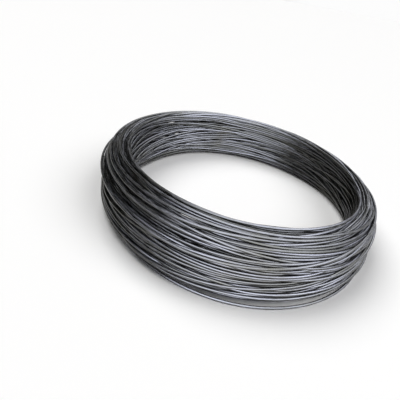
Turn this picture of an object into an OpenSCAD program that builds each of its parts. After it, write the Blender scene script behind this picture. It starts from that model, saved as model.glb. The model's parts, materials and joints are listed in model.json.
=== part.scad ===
// Coil of steel wire rod, lying on one end.
// One continuous rod wound into a ring: a turned body with a bore, whose turns stand out
// as round ridges on both ends, on the outer face and in the bore.
// The origin is on the floor at the centre of the bore, and +Z is the axis of the coil.

/* [Rod] */
// Diameter of the rod
rod_d = 5.5; // [4:0.5:10]
// How far a turn beds into its neighbour along the outside of the coil
turn_lap = 0.25; // [0.1:0.05:0.6]

/* [Coil] */
// Diameter of the bore inside the innermost turns
bore_d = 560; // [400:5:700]
// Build of the coil, from the bore out to the outermost turns
coil_build = 60; // [30:1:150]
// Height from the floor to the uppermost turns, as a mean round the uneven coil
coil_h = 134; // [100:1:300]

/* [Rounding of the wound section] */
// Shoulder, where the upper turns slope away to the outer face
shoulder_round = 62; // [36:1:90]
// Crest beside the bore, on which the uppermost turns lie
crest_round = 12; // [8:1:25]
// Bottom outer corner, drawn in towards the floor
bottom_outer_round = 28; // [10:1:60]
// Bottom inner corner
bottom_inner_round = 24; // [8:1:40]

/* [Bearing] */
// Depth to which the turns that bear on the floor and in the bore are flattened
bearing_flat = 0.2; // [0.1:0.05:0.5]

/* [Hidden] */
$fn = 72;
steel_grey = [0.33, 0.33, 0.36];
half_turn = 180;
quarter_turn = half_turn / 2;

rod_r = rod_d / 2;
bore_r = bore_d / 2;
outer_r = bore_r + coil_build;

// Before it is flattened, the wound section stands proud of the bore and of the floor.
proud_bore = bore_r - bearing_flat;
proud_floor = -bearing_flat;
wound_w = outer_r - proud_bore;

// The shoulder and the crest meet where they share a tangent. A section that is wide enough
// for both has a level top between them instead, and each is then a quarter round.
crest = min(crest_round, wound_w / 2);
round_drop = shoulder_round - crest;
round_overrun = max(0, shoulder_round + crest - wound_w);
shoulder_sweep = acos(round_overrun / round_drop);
crest_z = coil_h - crest;
shoulder_z = crest_z - round_drop * sin(shoulder_sweep);

// The two bottom corners share the width of the section where it is too narrow for them,
// and the outer one ends below the shoulder.
bottom_share = min(1, wound_w / (bottom_outer_round + bottom_inner_round));
bottom_outer = min(bottom_outer_round * bottom_share, shoulder_z);
bottom_inner = bottom_inner_round * bottom_share;

// The lay line joins the centres of the outside turns, one rod radius inside the outline of the
// section. Each of its corners is [centre, radius, start angle, sweep], in order round the section.
lay_corners = [
    [[outer_r - bottom_outer, proud_floor + bottom_outer],
        bottom_outer - rod_r, -quarter_turn, quarter_turn],
    [[outer_r - shoulder_round, shoulder_z],
        shoulder_round - rod_r, 0, shoulder_sweep],
    [[proud_bore + crest, crest_z],
        crest - rod_r, shoulder_sweep, half_turn - shoulder_sweep],
    [[proud_bore + bottom_inner, proud_floor + bottom_inner],
        bottom_inner - rod_r, half_turn, quarter_turn]
];
function corner(i) = lay_corners[i % len(lay_corners)];
function on_corner(i, turned) =
    corner(i)[0] + corner(i)[1] * [cos(corner(i)[2] + turned), sin(corner(i)[2] + turned)];
function corner_length(i) = corner(i)[1] * corner(i)[3] * PI / half_turn;

// A straight run leads from the end of each corner to the start of the next.
function run_start(i) = on_corner(i, corner(i)[3]);
function run_end(i) = on_corner(i + 1, 0);
function run_length(i) = norm(run_end(i) - run_start(i));

// Length of the lay line from the start of corner i, and the point at a distance from there.
function lay_length(i = 0) =
    i == len(lay_corners) ? 0 : corner_length(i) + run_length(i) + lay_length(i + 1);
function lay_point(distance, i = 0) =
    let (past_corner = distance - corner_length(i), past_run = past_corner - run_length(i))
    past_corner < 0 ? on_corner(i, corner(i)[3] * distance / corner_length(i)) :
    past_run < 0 ? run_start(i) + (run_end(i) - run_start(i)) * past_corner / run_length(i) :
    lay_point(past_run, i + 1);

turn_count = ceil(lay_length() / (rod_d - turn_lap));
turn_pitch = lay_length() / turn_count;
turn_centres = [for (i = [0 : turn_count - 1]) lay_point(i * turn_pitch)];

// The wound section: rounds for the outside turns, filled in behind them, and flattened where
// the coil bears on the floor and on a mandrel in its bore.
module wound_section() {
    intersection() {
        union() {
            polygon(turn_centres);
            for (centre = turn_centres)
                translate(centre) circle(r = rod_r);
        }
        translate([bore_r, 0]) square([wound_w, coil_h + rod_d]);
    }
}

module wire_coil() {
    color(steel_grey)
        rotate_extrude() wound_section();
}

wire_coil();
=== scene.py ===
"""Coil of wire rod: one steel rod wound in loose turns, lying on a pale studio floor."""

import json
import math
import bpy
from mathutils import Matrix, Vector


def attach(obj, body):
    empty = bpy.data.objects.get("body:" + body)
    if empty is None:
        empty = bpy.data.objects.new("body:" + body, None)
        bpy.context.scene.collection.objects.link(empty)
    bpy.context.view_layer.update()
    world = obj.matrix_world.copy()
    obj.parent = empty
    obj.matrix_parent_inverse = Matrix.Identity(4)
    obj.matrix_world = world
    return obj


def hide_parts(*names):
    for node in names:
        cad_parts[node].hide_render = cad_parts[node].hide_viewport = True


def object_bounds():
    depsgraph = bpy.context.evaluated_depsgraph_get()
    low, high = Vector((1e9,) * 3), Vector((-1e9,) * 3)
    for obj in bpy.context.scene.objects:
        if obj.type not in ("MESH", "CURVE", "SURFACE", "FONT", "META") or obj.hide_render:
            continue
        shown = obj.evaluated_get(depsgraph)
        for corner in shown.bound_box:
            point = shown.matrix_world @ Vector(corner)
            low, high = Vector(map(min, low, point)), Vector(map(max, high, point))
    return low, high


bl_info = {
    "name": "Coil of Wire Rod",
    "version": (1, 0, 0),
    "blender": (4, 5, 0),
    "location": "View3D > Sidebar > Wire Rod",
    "description": "Winds a steel rod into a coil, finishes it and sets it on a studio floor",
    "category": "Object",
}

import bmesh
import bpy
import numpy as np
from bpy.props import FloatProperty, FloatVectorProperty, IntProperty, PointerProperty
from mathutils import Matrix, Vector

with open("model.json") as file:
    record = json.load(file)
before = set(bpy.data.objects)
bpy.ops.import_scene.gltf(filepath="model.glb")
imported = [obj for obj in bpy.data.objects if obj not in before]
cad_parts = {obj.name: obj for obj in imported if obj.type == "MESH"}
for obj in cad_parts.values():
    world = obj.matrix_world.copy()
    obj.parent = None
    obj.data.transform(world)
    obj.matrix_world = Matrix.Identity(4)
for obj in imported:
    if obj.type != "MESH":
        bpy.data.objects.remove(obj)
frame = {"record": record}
cad_low, cad_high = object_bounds()

BODY = "root"
NODE = "wire_coil"
FULL_TURN = 2 * math.pi

# Added to a distance that is divided by, so that it is never nought.
TINY = 1e-9

BORE_MOUNT = next(mount for mount in frame["record"]["mounts"] if mount["name"] == "bore")
BORE_RADIUS = BORE_MOUNT["dims"]["r_mm"] / 1000
OUTER_RADIUS = (cad_high.x - cad_low.x) / 2
COIL_HEIGHT = cad_high.z

# The pieces of the rod, in the order in which it is wound, with the share of the turns in each.
ROD_PIECES = (("rod_bore_turns", 0.34), ("rod_middle_turns", 0.33), ("rod_outer_turns", 0.33))

# The rod begins, ends and passes from turn to turn at the back of the coil.
TURN_START = math.radians(100)

# Stretches round the coil, each by its middle and its width to each side, in degrees.
TANGLED_RIGHT = (-15, 70)
FRAYED_RIGHT = (-5, 60)
FULL_FOOT_FRONT = (-38, 55)
LOOSE_FRONT = (-66, 80)

# Even places of the turns in a section: their spacing and the depth of a layer, in rod
# diameters, and the share of an overlap by which each place moves in a pass.
PLACE_SPACING = 1.8
LAYER_DEPTH = 1.45
PLACE_PUSH = 0.25
PLACE_PASSES = 300

# Waves of the turns: the fewest and the most of them in a turn, how many turns stray alike,
# where and how fast the waves shrink as they get shorter, and how far they go sideways.
FEWEST_WAVES = 0.05
LONG_WAVES = 5
SHORT_WAVES = 11
ALIKE_TURNS = 7
WAVE_KNEE = 0.3
WAVE_FALL = 1.2
SIDEWAYS = 0.7

# Settling of the turns: their spacing in rod diameters, the share of an overlap and of an
# overreach by which a turn moves in a pass, the most slack of a turn in times the mean, and
# how much a pass straightens the rod.
TURN_SPACING = 1.01
TURN_PUSH = 0.45
HOLD_BACK = 0.5
MOST_SLACK = 3
SETTLE_PASSES = 220
STIFFNESS = 0.3
LAST_PASSES = 2
LAST_STIFFNESS = 0.5

# How far out the loose turns drift in a turn, in metres.
LOOSE_DRIFT = 0.0055

# Pitch of the plain helix that the turns are laid from, in rod diameters.
NEAT_PITCH = 3

# Marks on the steel, in cycles to the metre: along the rod and across it, or in the coil.
DULL_STRETCHES = (1.7, 60.0, 60.0)
RUBBED_SPOTS = (45.0, 300.0, 300.0)
DRAWN_LINES = (14.0, 1400.0, 1400.0)
FILM_PATCHES = (9.0, 9.0, 9.0)

# How the marks are mixed: the spots against the lines, and the stretches against both.
SPOTS_PART = 0.6
STRETCHES_PART = 0.6

# Levels of the marks between which the tone, the roughness and the film change.
TONE_LEVELS = (0.4, 0.62)
ROUGH_LEVELS = (0.38, 0.62)
FILM_LEVELS = (0.5, 0.75)

# Depth of the marks, in metres, and how strongly they show on the rod and on its cut ends.
MARK_DEPTH = 0.0004
ROD_MARKS = 0.35
END_MARKS = 0.8

# Between which parts of a direction the room passes from its left to its right tint, and the
# backdrop from the room's tint to white.
ROOM_LEVELS = (-0.6, 0.9)
BACKDROP_LEVELS = (0.94, 0.99)

# Tints of the lamps.
COOL = (0.8, 0.84, 1.0)
PALE = (0.86, 0.89, 1.0)
WHITE = (1, 1, 1)

# The lamps: name, azimuth, elevation and width in degrees, strength and tint.
ROD_LAMPS = (
    ("key_lamp", -64, 44, 100, 6.8, COOL),
    ("front_lamp", -88, 28, 70, 3.0, COOL),
    ("side_lamp", -6, 33, 50, 2.3, COOL),
    ("back_lamp", 70, 58, 50, 2.9, PALE),
    ("low_lamp", 42, 28, 40, 0.4, COOL),
)
FLOOR_LAMPS = (
    ("floor_lamp", 140, 57, 40, 2.13, WHITE),
    ("floor_side_lamp", -5, 53, 50, 1.47, WHITE),
)


def length(name, description, default):
    """A size in metres."""
    return FloatProperty(name=name, description=description, default=default, unit="LENGTH",
                         precision=4)


def factor(name, description, default, low=0.0, high=1.0):
    """A plain factor."""
    return FloatProperty(name=name, description=description, default=default, min=low, max=high)


def colour(name, description, default):
    """A linear colour."""
    return FloatVectorProperty(name=name, description=description, default=default, size=3,
                               subtype="COLOR", min=0.0, max=1.0)


def turn_angle(name, description, degrees):
    """An angle, given in degrees."""
    return FloatProperty(name=name, description=description, default=math.radians(degrees),
                         subtype="ANGLE")


class CoilSizes(bpy.types.PropertyGroup):
    """Sizes of the rod and of the coil that it is wound into."""

    rod_diameter: length("Rod diameter", "Diameter of the rod", 0.0055)
    rod_sides: IntProperty(name="Rod sides", description="Facets round the rod", default=10, min=6)
    turns: IntProperty(name="Turns", description="Turns of rod in the coil", default=135, min=20)
    rings: IntProperty(name="Rings", description="Rings of facets in a turn", default=144, min=48)
    seed: IntProperty(name="Seed", description="Seed of the lay of the turns", default=11)
    bore: length("Bore radius", "Radius inside the innermost turns", BORE_RADIUS)
    outside: length("Outside radius", "Radius over the outermost turns", OUTER_RADIUS)
    height: length("Height", "Mean height of the uppermost turns", COIL_HEIGHT)
    shoulder: length("Shoulder", "Rounding from the crest to the outer face", 0.062)
    crest: length("Crest", "Rounding of the crest beside the bore", 0.012)
    foot: length("Foot", "Rounding of the bottom outer corner", 0.028)
    full_foot: factor("Full foot", "How much less the foot is drawn in at the right front", 0.8)
    heel: length("Heel", "Rounding of the bottom inner corner", 0.024)
    wander: length("Wander", "How far a turn strays from its place", 0.012)
    bundle: length("Bundle", "How far turns that follow each other stray together", 0.014)
    fray: length("Fray", "Short waves of the turns on the right, before they settle", 0.03)
    slack: length("Slack", "How far a turn may stand proud of the coil", 0.0015)
    tangle: factor("Tangle", "How much further the turns stray on the right", 1.8, 0.0, 3.0)
    rise_side: factor("Rise to the side", "Growth in height to the right", -0.1015, -0.3, 0.3)
    rise_back: factor("Rise to the back", "Growth in height to the back", -0.0597, -0.3, 0.3)
    lean_side: length("Lean to the side", "Shift of the uppermost turns to the right", -0.0045)
    lean_back: length("Lean to the back", "Shift of the uppermost turns to the back", 0.0192)
    bore_shift: length("Bore shift", "Shift of the bore to the right", 0.0078)
    ceiling: length("Ceiling", "Level that no turn rises above", 0.147)
    loose_turns: IntProperty(name="Loose turns", description="Turns that lie loose on the floor",
                             default=2, min=1)
    loose_reach: length("Loose reach", "How far the last turn lies out in front", 0.026)


class CoilFinish(bpy.types.PropertyGroup):
    """Finish of the rod."""

    steel_dark: colour("Dark steel", "Duller stretches of the rod", (0.08, 0.079, 0.068))
    steel_light: colour("Light steel", "Brighter stretches of the rod", (0.178, 0.177, 0.18))
    film: colour("Oxide film", "Brownish film in patches", (0.085, 0.078, 0.055))
    film_most: factor("Film at most", "How far the film hides the steel in its patches", 0.4)
    smoothest: factor("Smoothest", "Roughness of the rubbed spots", 0.24)
    roughest: factor("Roughest", "Roughness of the dull spots", 0.44)
    cut_end: colour("Cut end", "Sheared face of the rod's end", (0.5, 0.5, 0.52))


class StudioView(bpy.types.PropertyGroup):
    """Camera, floor and room."""

    distance: length("Distance", "From the camera to the centre of the bore", 0.9)
    elevation: turn_angle("Elevation", "Height of the camera over the floor", 32.26)
    roll: turn_angle("Roll", "Tilt of the camera to its left", 10.15)
    lens_angle: turn_angle("Lens angle", "Width of the camera's view", 61.72)
    aim: FloatVectorProperty(name="Aim", description="Point on the floor at the middle of the view",
                             default=(-0.085, -0.030, 0.0), subtype="XYZ", unit="LENGTH")
    floor_size: length("Floor", "Width of the floor", 60.0)
    floor_white: colour("Floor colour", "Pale floor", (0.98, 0.98, 0.98))
    room_left: colour("Room on the left", "Dim light from the left", (0.04, 0.036, 0.024))
    room_right: colour("Room on the right", "Dim light from the right", (0.12, 0.12, 0.13))
    backdrop: turn_angle("Backdrop", "Direction in which the white backdrop shows", 78)
    backdrop_white: colour("Backdrop colour", "Backdrop where the floor ends", (0.98, 0.98, 0.98))


def corner_discs(sizes, foot):
    """Corners of the wound section, from the shoulder by the bore round to the foot.

    Gives the radius from the axis, the height and the rounding of each, and the direction in
    which the shoulder passes into the crest.
    """
    drop = sizes.shoulder - sizes.crest
    overrun = max(0.0, sizes.shoulder + sizes.crest - (sizes.outside - sizes.bore))
    sweep = math.acos(overrun / drop)
    crest_z = sizes.height - sizes.crest
    shoulder_z = crest_z - drop * math.sin(sweep)
    discs = (
        (sizes.outside - sizes.shoulder, shoulder_z, sizes.shoulder),
        (sizes.bore + sizes.crest, crest_z, sizes.crest),
        (sizes.bore + sizes.heel, sizes.heel, sizes.heel),
        (sizes.outside - foot, foot, foot),
    )
    return discs, sweep


def section_limits(sizes, foot, count=32):
    """Lines that hold the middle of every turn inside the wound section."""
    discs, sweep = corner_discs(sizes, foot)
    corner_ends = (sweep, FULL_TURN / 2, FULL_TURN * 3 / 4)
    limits = []
    for facing in np.arange(count) * FULL_TURN / count:
        nearest = np.searchsorted(corner_ends, facing, side="right")
        radius, height, rounding = discs[nearest]
        outward = np.array([math.cos(facing), math.sin(facing)])
        reach = radius * outward[0] + height * outward[1] + rounding - sizes.rod_diameter / 2
        limits.append((outward, reach))
    return limits


def even_places(rng, sizes, limits):
    """Places for the turns, spread evenly over the section, in the order of winding."""
    low = (sizes.bore, 0.0)
    high = (sizes.outside, sizes.height)
    places = rng.uniform(low, high, (sizes.turns - sizes.loose_turns, 2))
    apart = PLACE_SPACING * sizes.rod_diameter
    for _ in range(PLACE_PASSES):
        gap = places[:, None] - places[None]
        distance = np.hypot(gap[..., 0], gap[..., 1]) + TINY
        push = np.clip(apart - distance, 0, None) / distance
        np.fill_diagonal(push, 0)
        places = places + PLACE_PUSH * (gap * push[..., None]).sum(axis=1)
        for outward, reach in limits:
            over = np.clip(places @ outward - reach, 0, None)
            places = places - over[:, None] * outward
    layer = np.floor((places[:, 0] - sizes.bore) / (LAYER_DEPTH * sizes.rod_diameter))
    climb = np.where((layer.max() - layer) % 2 == 0, -places[:, 1], places[:, 1])
    return places[np.lexsort((climb, layer))]


def smooth_waves(rng, count, rings, finest, alike=None):
    """Random waves along the rod, of unit size, none shorter than a turn over finest.

    With alike, they come back from turn to turn, and change over about that many turns.
    """
    cycles = np.arange(count // 2 + 1) * rings / count
    size = (WAVE_KNEE + cycles) ** -WAVE_FALL
    size[(cycles < FEWEST_WAVES) | (cycles > finest)] = 0
    if alike:
        whole = np.round(cycles)
        size *= np.exp(-((cycles - whole) * alike) ** 2) * (whole > 0)
    phase = rng.normal(size=cycles.size) + 1j * rng.normal(size=cycles.size)
    waves = np.fft.irfft(size * phase, count)
    return waves / waves.std()


def push_apart(radius, height, spacing):
    """Moves turns that overlap in a radial section away from each other."""
    order = np.argsort(height, axis=0)
    low_radius = np.take_along_axis(radius, order, 0)
    low_height = np.take_along_axis(height, order, 0)
    move_radius = np.zeros_like(radius)
    move_height = np.zeros_like(height)
    for step in range(1, len(radius)):
        up = low_height[step:] - low_height[:-step]
        if up.min() > spacing:
            break
        out = low_radius[step:] - low_radius[:-step]
        distance = np.sqrt(up * up + out * out) + TINY
        push = TURN_PUSH * np.clip(spacing - distance, 0, None) / distance
        move_radius[step:] += push * out
        move_radius[:-step] -= push * out
        move_height[step:] += push * up
        move_height[:-step] -= push * up
    np.put_along_axis(radius, order, low_radius + move_radius, 0)
    np.put_along_axis(height, order, low_height + move_height, 0)


def even_out(along, amount):
    """Straightens the rod along its length, as its stiffness does."""
    line = along.reshape(-1)
    padded = np.pad(line, 2, mode="edge")
    mean = (padded[:-4] + 2 * padded[1:-3] + 2 * padded[3:-1] + padded[4:]) / 6
    return (line + amount * (mean - line)).reshape(along.shape)


def ring_angles(sizes):
    """Angle of every ring of a turn, from the place at the back where a turn begins."""
    return TURN_START + np.arange(sizes.rings) * FULL_TURN / sizes.rings


def swell(angle, stretch):
    """A smooth rise from 0 to 1 and back over a stretch round the coil."""
    middle, width = (math.radians(degrees) for degrees in stretch)
    away = np.abs((angle - middle + FULL_TURN / 2) % FULL_TURN - FULL_TURN / 2)
    return np.cos(np.clip(away / width, 0, 1) * FULL_TURN / 4) ** 2


def unevenness(sizes, angle):
    """How the coil departs from an even ring: its height, lean and wall at each angle."""
    rise = 1 + sizes.rise_side * np.cos(angle) + sizes.rise_back * np.sin(angle)
    lean = (sizes.lean_side * np.cos(angle) + sizes.lean_back * np.sin(angle)) / sizes.height
    wall = 1 - sizes.bore_shift * np.cos(angle) / (sizes.outside - sizes.bore)
    return rise, lean, wall


def make_uneven(sizes, uneven, radius, height):
    """Where a point of the even ring lies in the coil."""
    rise, lean, wall = uneven
    return sizes.outside - (sizes.outside - radius) * wall + height * lean, height * rise


def make_even(sizes, uneven, radius, height):
    """Where a point of the coil lies in the even ring."""
    rise, lean, wall = uneven
    level = height / rise
    return sizes.outside - (sizes.outside - radius + level * lean) / wall, level


def lay_wound(rng, sizes, angle, foot):
    """Radius and height of the wound turns in the even ring, before they settle."""
    places = even_places(rng, sizes, section_limits(sizes, sizes.foot))
    turn = np.arange(len(places) * sizes.rings) / sizes.rings
    middle = np.arange(len(places)) + 0.5
    shape = (len(places), sizes.rings)
    radius = np.interp(turn, middle, places[:, 0]).reshape(shape)
    height = np.interp(turn, middle, places[:, 1]).reshape(shape)
    stray = sizes.wander * (1 + sizes.tangle * swell(angle, TANGLED_RIGHT))
    frayed = sizes.fray * swell(angle, FRAYED_RIGHT)
    for line, part in ((radius, SIDEWAYS), (height, 1.0)):
        own = smooth_waves(rng, turn.size, sizes.rings, LONG_WAVES).reshape(shape)
        bundled = smooth_waves(rng, turn.size, sizes.rings, LONG_WAVES, ALIKE_TURNS).reshape(shape)
        short = smooth_waves(rng, turn.size, sizes.rings, SHORT_WAVES).reshape(shape)
        line += part * (stray * own + sizes.bundle * bundled + frayed * short)
    low = np.clip(1 - height / (2 * sizes.foot), 0, 1)
    radius += (sizes.foot - foot) * low * (radius - sizes.bore) / (sizes.outside - sizes.bore)
    return radius, height


def lay_loose(sizes, angle):
    """Radius and height of the last turns, which lie on the floor and reach out in front."""
    count = sizes.loose_turns
    turned = np.arange(count * sizes.rings).reshape(count, -1) / sizes.rings
    radius = sizes.outside - sizes.foot + LOOSE_DRIFT * turned
    reach = sizes.loose_reach * (np.arange(count) + 1) / count
    radius = radius + reach[:, None] * swell(angle, LOOSE_FRONT)
    return radius, np.full_like(radius, sizes.rod_diameter / 2)


def hold_inside(sizes, uneven, limits, slack, radius, height):
    """Moves turns that reach out of the wound section, and out of their slack, back to it."""
    radius, height = make_even(sizes, uneven, radius, height)
    for outward, reach in limits:
        over = radius * outward[0] + height * outward[1] - reach
        over = over - slack * max(0, outward[0])
        over = HOLD_BACK * np.clip(over, 0, None)
        radius = radius - over * outward[0]
        height = height - over * outward[1]
    return make_uneven(sizes, uneven, radius, height)


def wind_rod(sizes):
    """Lays the rod: the radius and the height of its middle, for every turn and ring."""
    rng = np.random.default_rng(sizes.seed)
    angle = ring_angles(sizes)
    uneven = unevenness(sizes, angle)
    foot = sizes.foot * (1 - sizes.full_foot * swell(angle, FULL_FOOT_FRONT))
    limits = section_limits(sizes, foot)
    radius, height = make_uneven(sizes, uneven, *lay_wound(rng, sizes, angle, foot))
    wound = slice(0, len(radius))
    loose = slice(len(radius), None)
    slack = rng.exponential(sizes.slack, (len(radius), 1))
    slack = np.minimum(slack, MOST_SLACK * sizes.slack)
    loose_radius, loose_height = lay_loose(sizes, angle)
    radius = np.concatenate([radius, loose_radius])
    height = np.concatenate([height, loose_height])
    half = sizes.rod_diameter / 2
    for _ in range(SETTLE_PASSES):
        push_apart(radius, height, TURN_SPACING * sizes.rod_diameter)
        held = hold_inside(sizes, uneven, limits, slack, radius[wound], height[wound])
        radius[wound], height[wound] = held
        radius = even_out(radius, STIFFNESS)
        height = np.minimum(even_out(height, STIFFNESS), sizes.ceiling - half)
        radius[loose] = loose_radius
        height[loose] = loose_height
    for _ in range(LAST_PASSES):
        radius = even_out(radius, LAST_STIFFNESS)
        height = even_out(height, LAST_STIFFNESS)
    return radius, np.maximum(height, half)


def neat_helix(sizes, turns):
    """A plain helix of rod: one ring spun through a turn, then repeated by an array and joined."""
    pitch = NEAT_PITCH * sizes.rod_diameter
    mesh = bpy.data.meshes.new("neat_helix")
    bm = bmesh.new()
    upright = Matrix.Translation((sizes.outside, 0, 0)) @ Matrix.Rotation(FULL_TURN / 4, 4, "X")
    bmesh.ops.create_circle(bm, segments=sizes.rod_sides, radius=sizes.rod_diameter / 2,
                            matrix=upright)
    bmesh.ops.spin(bm, geom=bm.edges[:], cent=(0, 0, 0), axis=(0, 0, 1), angle=FULL_TURN,
                   dvec=(0, 0, pitch / sizes.rings), steps=sizes.rings, use_merge=False)
    bm.to_mesh(mesh)
    bm.free()
    helix = bpy.data.objects.new("neat_helix", mesh)
    bpy.context.scene.collection.objects.link(helix)
    array = helix.modifiers.new("turns", "ARRAY")
    array.count = turns
    array.use_relative_offset = False
    array.use_constant_offset = True
    array.constant_offset_displace = (0, 0, pitch)
    array.use_merge_vertices = True
    array.merge_threshold = sizes.rod_diameter / 50
    bpy.context.view_layer.update()
    depsgraph = bpy.context.evaluated_depsgraph_get()
    joined = bpy.data.meshes.new_from_object(helix.evaluated_get(depsgraph))
    bpy.data.objects.remove(helix)
    bpy.data.meshes.remove(mesh)
    return joined, pitch


def close_ends(mesh):
    """Fills the two open ends of the rod and turns every face outwards."""
    bm = bmesh.new()
    bm.from_mesh(mesh)
    rims = [edge for edge in bm.edges if edge.is_boundary]
    ends = bmesh.ops.edgeloop_fill(bm, edges=rims)["faces"]
    if len(ends) != 2:
        raise RuntimeError(f"the rod has {len(ends)} ends")
    bmesh.ops.recalc_face_normals(bm, faces=bm.faces[:])
    for face in bm.faces:
        face.smooth = True
    for face in ends:
        face.smooth = False
        face.material_index = 1
    bm.to_mesh(mesh)
    bm.free()


def lay_turns(name, sizes, radius, height, first, turns):
    """A stretch of the rod as a piece, moved from a plain helix to where its turns lie.

    The attribute "straight" holds each point's place on the rod: along, out and up.
    """
    mesh, pitch = neat_helix(sizes, turns)
    close_ends(mesh)
    place = np.empty(len(mesh.vertices) * 3)
    mesh.vertices.foreach_get("co", place)
    place = place.reshape(-1, 3)
    part_turn = np.arctan2(place[:, 1], place[:, 0]) / FULL_TURN % 1.0
    part_turn = np.round(part_turn * sizes.rings) / sizes.rings % 1.0
    whole_turn = np.round(place[:, 2] / pitch - part_turn)
    turned = part_turn + whole_turn
    out = np.hypot(place[:, 0], place[:, 1]) - sizes.outside
    up = place[:, 2] - pitch * turned
    ring = np.round((first + turned) * sizes.rings).astype(int)
    ring = np.clip(ring, 0, radius.size - 1)
    angle = TURN_START + turned * FULL_TURN
    reach = radius.reshape(-1)[ring] + out
    level = height.reshape(-1)[ring] + up
    laid = np.stack([reach * np.cos(angle), reach * np.sin(angle), level], axis=1)
    mesh.vertices.foreach_set("co", laid.reshape(-1))
    along = (first + turned) * FULL_TURN * (sizes.bore + sizes.outside) / 2
    straight = mesh.attributes.new("straight", "FLOAT_VECTOR", "POINT")
    straight.data.foreach_set("vector", np.stack([along, out, up], axis=1).reshape(-1))
    mesh.update()
    mesh.name = name
    piece = bpy.data.objects.new(name, mesh)
    bpy.context.scene.collection.objects.link(piece)
    return piece


def add_node(tree, kind, inputs=None, **settings):
    """A node with its settings and the values of its unlinked inputs."""
    node = tree.nodes.new(kind)
    for name, value in settings.items():
        setattr(node, name, value)
    for name, value in (inputs or {}).items():
        node.inputs[name].default_value = value
    return node


def new_material(name):
    """A node material, with its tree and its Principled shader."""
    material = bpy.data.materials.new(name)
    material.use_nodes = True
    tree = material.node_tree
    return material, tree, tree.nodes["Principled BSDF"]


def stretched_noise(tree, place, stretch, detail=3.0):
    """Noise with its own number of cycles to the metre along each axis of a place."""
    scaled = add_node(tree, "ShaderNodeMapping", {"Scale": stretch})
    noise = add_node(tree, "ShaderNodeTexNoise", {"Scale": 1.0, "Detail": detail, "Roughness": 0.6})
    tree.links.new(place, scaled.inputs["Vector"])
    tree.links.new(scaled.outputs["Vector"], noise.inputs["Vector"])
    return noise.outputs["Fac"]


def ranged(tree, value, levels, to_low=0.0, to_high=1.0):
    """A value brought smoothly from between two levels to another range."""
    low, high = levels
    node = add_node(tree, "ShaderNodeMapRange",
                    {"From Min": low, "From Max": high, "To Min": to_low, "To Max": to_high},
                    interpolation_type="SMOOTHSTEP")
    tree.links.new(value, node.inputs["Value"])
    return node.outputs["Result"]


# A Mix node's sockets: 0 is its factor, 2 and 3 take values and 6 and 7 take colours. It puts
# out values at 0 and colours at 2.
def weighed(tree, first, second, part):
    """Two values added, the first by its part and the second by the rest."""
    mix = add_node(tree, "ShaderNodeMix", {0: 1 - part}, data_type="FLOAT")
    tree.links.new(first, mix.inputs[2])
    tree.links.new(second, mix.inputs[3])
    return mix.outputs[0]


def blended(tree, mask, first, second):
    """One colour passing into another by a mask."""
    mix = add_node(tree, "ShaderNodeMix", data_type="RGBA")
    tree.links.new(mask, mix.inputs[0])
    tree.links.new(first, mix.inputs[6])
    tree.links.new(second, mix.inputs[7])
    return mix.outputs[2]


def steel_skin(finish):
    """Shared look of bare steel: duller and brighter stretches, rubbed spots, lines and film."""
    group = bpy.data.node_groups.new("steel_skin", "ShaderNodeTree")
    for name, kind in (("On Rod", "NodeSocketVector"), ("In Coil", "NodeSocketVector"),
                       ("Dark", "NodeSocketColor"), ("Light", "NodeSocketColor"),
                       ("Film", "NodeSocketColor")):
        group.interface.new_socket(name, in_out="INPUT", socket_type=kind)
    for name, kind in (("Colour", "NodeSocketColor"), ("Roughness", "NodeSocketFloat"),
                       ("Height", "NodeSocketFloat")):
        group.interface.new_socket(name, in_out="OUTPUT", socket_type=kind)
    given = group.nodes.new("NodeGroupInput").outputs
    result = group.nodes.new("NodeGroupOutput").inputs
    stretches = stretched_noise(group, given["On Rod"], DULL_STRETCHES)
    spots = stretched_noise(group, given["On Rod"], RUBBED_SPOTS)
    lines = stretched_noise(group, given["On Rod"], DRAWN_LINES, detail=4.0)
    marks = weighed(group, spots, lines, SPOTS_PART)
    tone = ranged(group, weighed(group, stretches, marks, STRETCHES_PART), TONE_LEVELS)
    steel = blended(group, tone, given["Dark"], given["Light"])
    patches = stretched_noise(group, given["In Coil"], FILM_PATCHES, detail=5.0)
    film = ranged(group, patches, FILM_LEVELS, 0.0, finish.film_most)
    rough = ranged(group, marks, ROUGH_LEVELS, finish.smoothest, finish.roughest)
    group.links.new(blended(group, film, steel, given["Film"]), result["Colour"])
    group.links.new(rough, result["Roughness"])
    group.links.new(marks, result["Height"])
    return group


def steel_material(name, skin, dark, light, film, marks):
    """Bare steel in its own colours, on the shared skin."""
    material, tree, shader = new_material(name)
    link = tree.links.new
    on_rod = add_node(tree, "ShaderNodeAttribute", attribute_name="straight")
    in_coil = add_node(tree, "ShaderNodeTexCoord")
    look = add_node(tree, "ShaderNodeGroup", node_tree=skin)
    for socket, tint in (("Dark", dark), ("Light", light), ("Film", film)):
        look.inputs[socket].default_value = (*tint, 1)
    link(on_rod.outputs["Vector"], look.inputs["On Rod"])
    link(in_coil.outputs["Object"], look.inputs["In Coil"])
    bump = add_node(tree, "ShaderNodeBump", {"Strength": marks, "Distance": MARK_DEPTH})
    link(look.outputs["Height"], bump.inputs["Height"])
    link(look.outputs["Colour"], shader.inputs["Base Color"])
    link(look.outputs["Roughness"], shader.inputs["Roughness"])
    link(bump.outputs["Normal"], shader.inputs["Normal"])
    shader.inputs["Metallic"].default_value = 1.0
    return material


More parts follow.
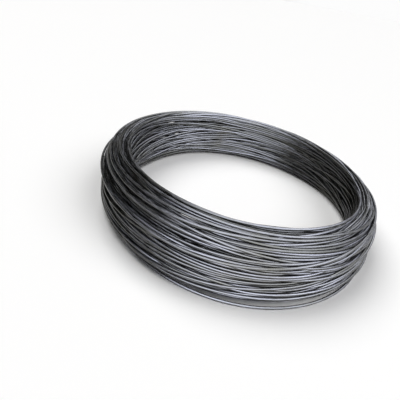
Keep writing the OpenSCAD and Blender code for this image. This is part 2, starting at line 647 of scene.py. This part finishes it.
class COIL_OT_wind_rod(bpy.types.Operator):
    """Wind the rod into the coil, in stretches that follow each other"""

    bl_idname = "coil.wind_rod"
    bl_label = "Wind the rod"

    def execute(self, context):
        sizes = context.scene.coil_sizes
        radius, height = wind_rod(sizes)
        finish = context.scene.coil_finish
        skin = steel_skin(finish)
        steel = steel_material("bare_steel_rod", skin, finish.steel_dark, finish.steel_light,
                               finish.film, ROD_MARKS)
        cut_end = steel_material("sheared_rod_end", skin, finish.steel_light, finish.cut_end,
                                 finish.steel_dark, END_MARKS)
        first = 0
        for number, (name, part) in enumerate(ROD_PIECES):
            is_last = number == len(ROD_PIECES) - 1
            last = sizes.turns if is_last else first + round(part * sizes.turns)
            piece = lay_turns(name, sizes, radius, height, first, last - first)
            piece.data.materials.append(steel)
            piece.data.materials.append(cut_end)
            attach(piece, BODY)
            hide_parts(NODE)
            first = last
        return {"FINISHED"}


def aim_at(thing, place, target):
    """Puts a lamp or camera at a place and points it at a target."""
    thing.location = place
    thing.rotation_mode = "QUATERNION"
    thing.rotation_quaternion = (Vector(target) - Vector(place)).to_track_quat("-Z", "Y")


def light_only(name, things):
    """A group of things for lamps that light nothing else."""
    group = bpy.data.collections.new(name)
    for thing in things:
        group.objects.link(thing)
    return group


def add_lamp(name, azimuth, elevation, width, strength, tint, lit):
    """A broad, far lamp on a group of things; its angles are in degrees."""
    data = bpy.data.lights.new(name, "SUN")
    data.angle = math.radians(width)
    data.energy = strength
    data.color = tint
    lamp = bpy.data.objects.new(name, data)
    bpy.context.scene.collection.objects.link(lamp)
    around = math.radians(azimuth)
    up = math.radians(elevation)
    level = math.cos(up)
    aim_at(lamp, (level * math.cos(around), level * math.sin(around), math.sin(up)), (0, 0, 0))
    lamp.light_linking.receiver_collection = lit


def add_floor(view):
    """Matt pale floor."""
    mesh = bpy.data.meshes.new("studio_floor")
    bm = bmesh.new()
    bmesh.ops.create_grid(bm, x_segments=1, y_segments=1, size=view.floor_size / 2)
    bm.to_mesh(mesh)
    bm.free()
    floor = bpy.data.objects.new("studio_floor", mesh)
    bpy.context.scene.collection.objects.link(floor)
    material, _, shader = new_material("pale_floor")
    shader.inputs["Base Color"].default_value = (*view.floor_white, 1)
    shader.inputs["Roughness"].default_value = 0.9
    shader.inputs["Specular IOR Level"].default_value = 0.1
    mesh.materials.append(material)
    return floor


def add_room(view):
    """Dim light all round, cooler on the right, and a white backdrop where the floor ends."""
    world = bpy.data.worlds.new("studio")
    bpy.context.scene.world = world
    world.use_nodes = True
    tree = world.node_tree
    background = tree.nodes["Background"]
    direction = add_node(tree, "ShaderNodeTexCoord").outputs["Generated"]
    parts = add_node(tree, "ShaderNodeSeparateXYZ")
    tree.links.new(direction, parts.inputs["Vector"])
    toward = add_node(tree, "ShaderNodeVectorMath", operation="DOT_PRODUCT")
    toward.inputs[1].default_value = (math.cos(view.backdrop), math.sin(view.backdrop), 0)
    tree.links.new(direction, toward.inputs[0])
    tints = []
    for tint in (view.room_left, view.room_right, view.backdrop_white):
        node = add_node(tree, "ShaderNodeRGB")
        node.outputs[0].default_value = (*tint, 1)
        tints.append(node.outputs[0])
    left, right, white = tints
    room = blended(tree, ranged(tree, parts.outputs["X"], ROOM_LEVELS), left, right)
    backdrop = ranged(tree, toward.outputs["Value"], BACKDROP_LEVELS)
    tree.links.new(blended(tree, backdrop, room, white), background.inputs["Color"])
    background.inputs["Strength"].default_value = 1.0


def add_camera(view):
    """Camera at the height, roll and lens angle of the view."""
    data = bpy.data.cameras.new("studio_camera")
    data.sensor_fit = "HORIZONTAL"
    data.angle = view.lens_angle
    camera = bpy.data.objects.new("studio_camera", data)
    bpy.context.scene.collection.objects.link(camera)
    place = view.distance * Vector((0, -math.cos(view.elevation), math.sin(view.elevation)))
    aim_at(camera, place, view.aim)
    level = camera.rotation_quaternion.to_matrix()
    camera.rotation_quaternion = (level @ Matrix.Rotation(view.roll, 3, "Z")).to_quaternion()
    return camera


class COIL_OT_set_stage(bpy.types.Operator):
    """Set the floor, the light and the camera"""

    bl_idname = "coil.set_stage"
    bl_label = "Set the stage"

    def execute(self, context):
        scene = context.scene
        view = scene.studio_view
        floor = add_floor(view)
        add_room(view)
        rods = [scene.objects[name] for name, _ in ROD_PIECES]
        for lamps, lit in ((ROD_LAMPS, light_only("lit_rods", rods)),
                           (FLOOR_LAMPS, light_only("lit_floor", [floor]))):
            for lamp in lamps:
                add_lamp(*lamp, lit)
        scene.camera = add_camera(view)
        scene.view_settings.view_transform = "Standard"
        return {"FINISHED"}


class COIL_PT_sidebar(bpy.types.Panel):
    """Sizes, finish and steps of the coil"""

    bl_idname = "COIL_PT_sidebar"
    bl_label = "Wire Rod"
    bl_space_type = "VIEW_3D"
    bl_region_type = "UI"
    bl_category = "Wire Rod"

    def draw(self, context):
        layout = self.layout
        scene = context.scene
        for group in (scene.coil_sizes, scene.coil_finish, scene.studio_view):
            box = layout.box()
            for name in group.__annotations__:
                box.prop(group, name)
        for operator in (COIL_OT_wind_rod, COIL_OT_set_stage):
            layout.operator(operator.bl_idname)


CLASSES = (CoilSizes, CoilFinish, StudioView, COIL_OT_wind_rod, COIL_OT_set_stage, COIL_PT_sidebar)


def register():
    """Registers the classes and hangs their settings on the scene."""
    for cls in CLASSES:
        bpy.utils.register_class(cls)
    bpy.types.Scene.coil_sizes = PointerProperty(type=CoilSizes)
    bpy.types.Scene.coil_finish = PointerProperty(type=CoilFinish)
    bpy.types.Scene.studio_view = PointerProperty(type=StudioView)


def unregister():
    """Takes the settings and the classes away again."""
    del bpy.types.Scene.studio_view
    del bpy.types.Scene.coil_finish
    del bpy.types.Scene.coil_sizes
    for cls in reversed(CLASSES):
        bpy.utils.unregister_class(cls)


def main():
    """Makes the coil and the stage."""
    register()
    bpy.ops.coil.wind_rod()
    bpy.ops.coil.set_stage()


if __name__ == "__main__":
    main()
